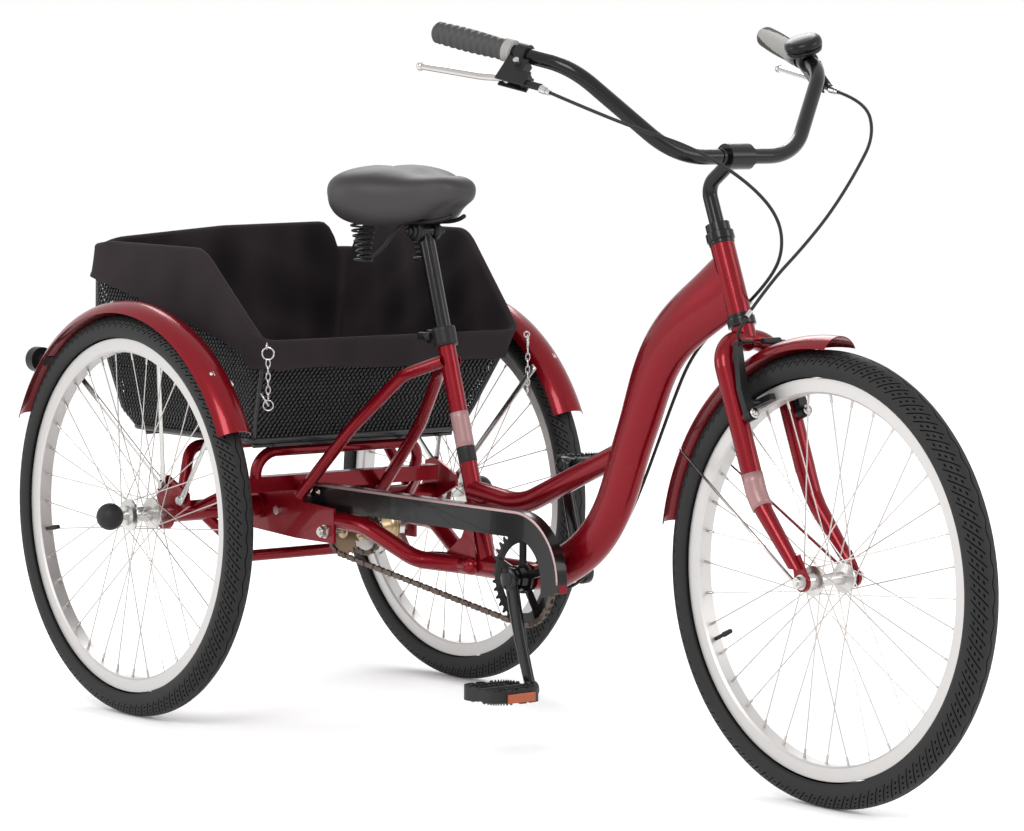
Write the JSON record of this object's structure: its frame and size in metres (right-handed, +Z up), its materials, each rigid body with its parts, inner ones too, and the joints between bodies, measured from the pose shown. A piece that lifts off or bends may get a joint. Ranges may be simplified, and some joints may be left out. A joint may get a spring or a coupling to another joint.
{
  "type": "adult tricycle",
  "caption": "Adult tricycle with a low step-through frame, swept-back handlebar, sprung saddle, chain drive with guard, fenders and a lined woven basket between the rear wheels.",
  "frame": {"origin": "on the ground, midway along the length, on the centre plane", "axes": "+X forward, +Y to the rider's left, +Z up"},
  "size_m": [1.936, 0.7998, 1.1142],
  "materials": {
    "frame_paint": "metallic gloss",
    "black_metal": "gloss",
    "tyre": "matte",
    "rim": "satin",
    "steel": "bright",
    "chain_steel": "satin",
    "rubber": "matte",
    "reflector": "gloss",
    "pedal_plastic": "matte",
    "grip_rubber": "matte",
    "bright_alloy": "polished",
    "gloss_black": "gloss",
    "cable_sleeve": "gloss",
    "weave": "woven",
    "fabric": "matte",
    "saddle_cover": "satin"
  },
  "bodies": {
    "frame": {"head_tube": "frame_paint", "main_tube": "frame_paint", "keel_tube": "frame_paint", "seat_tube": "frame_paint", "brace_tube": "frame_paint", "chain_stays": "frame_paint", "axle_housings": "frame_paint", "carriage": "frame_paint", "seat_stays": "frame_paint", "carriage_hoops": "frame_paint", "frame_fittings": "steel", "rear_fender_right": "frame_paint", "rear_fender_left": "frame_paint", "fender_stays": "steel", "rear_reflectors": "reflector", "chain_guard": "black_metal", "chains": "chain_steel", "rear_cable_run": "cable_sleeve", "basket": "weave", "basket_liner": "fabric", "basket_chains": "bright_alloy"},
    "steering": {"fork": "frame_paint", "stem": "black_metal", "handlebar": "black_metal", "grips": "grip_rubber", "lever_clamps": "pedal_plastic", "bell": "gloss_black", "front_fender": "frame_paint", "front_axle": "steel", "front_brake_cable": "cable_sleeve", "rear_brake_cable": "cable_sleeve"},
    "front_wheel": {"front_tyre": "tyre", "front_rim": "rim", "front_hub": "steel", "front_spokes": "steel"},
    "driven_axle": {"rear_axle": "steel", "left_tyre": "tyre", "left_rim": "rim", "left_hub": "steel", "left_spokes": "steel", "hub_caps": "rubber"},
    "free_wheel": {"right_tyre": "tyre", "right_rim": "rim", "right_hub": "steel", "right_spokes": "steel"},
    "transfer_hub": {"intermediate_hub": "steel"},
    "crankset": {"cranks": "black_metal", "chainring": "black_metal"},
    "right_pedal": {"pedal_right": "pedal_plastic"},
    "left_pedal": {"pedal_left": "pedal_plastic"},
    "post": {"seat_post": "black_metal"},
    "seat": {"saddle_frame": "black_metal", "saddle": "saddle_cover"},
    "right_lever": {"brake_lever_right": "bright_alloy"},
    "left_lever": {"brake_lever_left": "bright_alloy"},
    "right_brake_arm": {"brake_arm_right": "black_metal"},
    "left_brake_arm": {"brake_arm_left": "black_metal"},
    "right_lock": {"lock_plunger_right": "bright_alloy"},
    "left_lock": {"lock_plunger_left": "bright_alloy"},
    "bell_thumb": {"bell_lever": "gloss_black"}
  },
  "joints": [
    {"name": "steer", "type": "hinge", "parent": "frame", "child": "steering", "pos_m": [0.451, 0, 0.686], "axis": [-0.3657, 0, 0.9307], "range_deg": [-50, 50], "deforming": ["rear_brake_cable"]},
    {"name": "front_wheel_spin", "type": "hinge", "parent": "steering", "child": "front_wheel", "pos_m": [0.642, 0, 0.326], "axis": [0, 1, 0], "continuous": true},
    {"name": "rear_axle_spin", "type": "hinge", "parent": "frame", "child": "driven_axle", "pos_m": [-0.642, 0, 0.326], "axis": [0, 1, 0], "continuous": true},
    {"name": "free_wheel_spin", "type": "hinge", "parent": "driven_axle", "child": "free_wheel", "pos_m": [-0.642, -0.3355, 0.326], "axis": [0, 1, 0], "continuous": true},
    {"name": "transfer_hub_spin", "type": "hinge", "parent": "frame", "child": "transfer_hub", "pos_m": [-0.457, 0, 0.299], "axis": [0, 1, 0], "continuous": true},
    {"name": "crank_spin", "type": "hinge", "parent": "frame", "child": "crankset", "pos_m": [0.011, 0, 0.268], "axis": [0, 1, 0], "continuous": true},
    {"name": "right_pedal_spin", "type": "hinge", "parent": "crankset", "child": "right_pedal", "pos_m": [0.061, -0.13, 0.10447], "axis": [0, 1, 0], "continuous": true},
    {"name": "left_pedal_spin", "type": "hinge", "parent": "crankset", "child": "left_pedal", "pos_m": [-0.039, 0.13, 0.43153], "axis": [0, 1, 0], "continuous": true},
    {"name": "seat_height", "type": "slide", "parent": "frame", "child": "post", "axis": [-0.3024, 0, 0.9532], "range_m": [-0.09, 0.07]},
    {"name": "saddle_tilt", "type": "hinge", "parent": "post", "child": "seat", "pos_m": [-0.30335, 0, 0.78925], "axis": [0, 1, 0], "range_deg": [-10, 10]},
    {"name": "right_lever_squeeze", "type": "hinge", "parent": "steering", "child": "right_lever", "pos_m": [0.28215, -0.2991, 1.03262], "axis": [-0.4025, 0.6669, -0.6271], "range_deg": [0, 11], "stiffness_Nm_per_rad": 0.6, "springref_deg": -2.86},
    {"name": "left_lever_squeeze", "type": "hinge", "parent": "steering", "child": "left_lever", "pos_m": [0.28215, 0.2991, 1.03262], "axis": [0.4025, 0.6669, 0.6271], "range_deg": [0, 11], "stiffness_Nm_per_rad": 0.6, "springref_deg": -2.86},
    {"name": "right_brake_arm_close", "type": "hinge", "parent": "steering", "child": "right_brake_arm", "pos_m": [0.52502, -0.051, 0.55231], "axis": [-0.9307, 0, -0.3657], "range_deg": [0, 4.5]},
    {"name": "left_brake_arm_close", "type": "hinge", "parent": "steering", "child": "left_brake_arm", "pos_m": [0.52502, 0.051, 0.55231], "axis": [0.9307, 0, 0.3657], "range_deg": [0, 4.5]},
    {"name": "right_lock_press", "type": "slide", "parent": "steering", "child": "right_lock", "axis": [-0.4025, 0.6669, -0.6271], "range_m": [0, 0.0028], "stiffness_N_per_m": 300},
    {"name": "left_lock_press", "type": "slide", "parent": "steering", "child": "left_lock", "axis": [-0.4025, -0.6669, -0.6271], "range_m": [0, 0.0028], "stiffness_N_per_m": 300},
    {"name": "bell_flick", "type": "hinge", "parent": "steering", "child": "bell_thumb", "pos_m": [0.31286, 0.26896, 1.07547], "axis": [0.0723, -0.3928, 0.9168], "range_deg": [0, 20], "stiffness_Nm_per_rad": 0.02}
  ],
  "couplings": [
    {"joint": "transfer_hub_spin", "follows": "rear_axle_spin", "ratio": 1},
    {"joint": "crank_spin", "follows": "rear_axle_spin", "ratio": 0.55556},
    {"joint": "right_brake_arm_close", "follows": "left_lever_squeeze", "ratio": 0.4},
    {"joint": "left_brake_arm_close", "follows": "left_lever_squeeze", "ratio": 0.4}
  ]
}
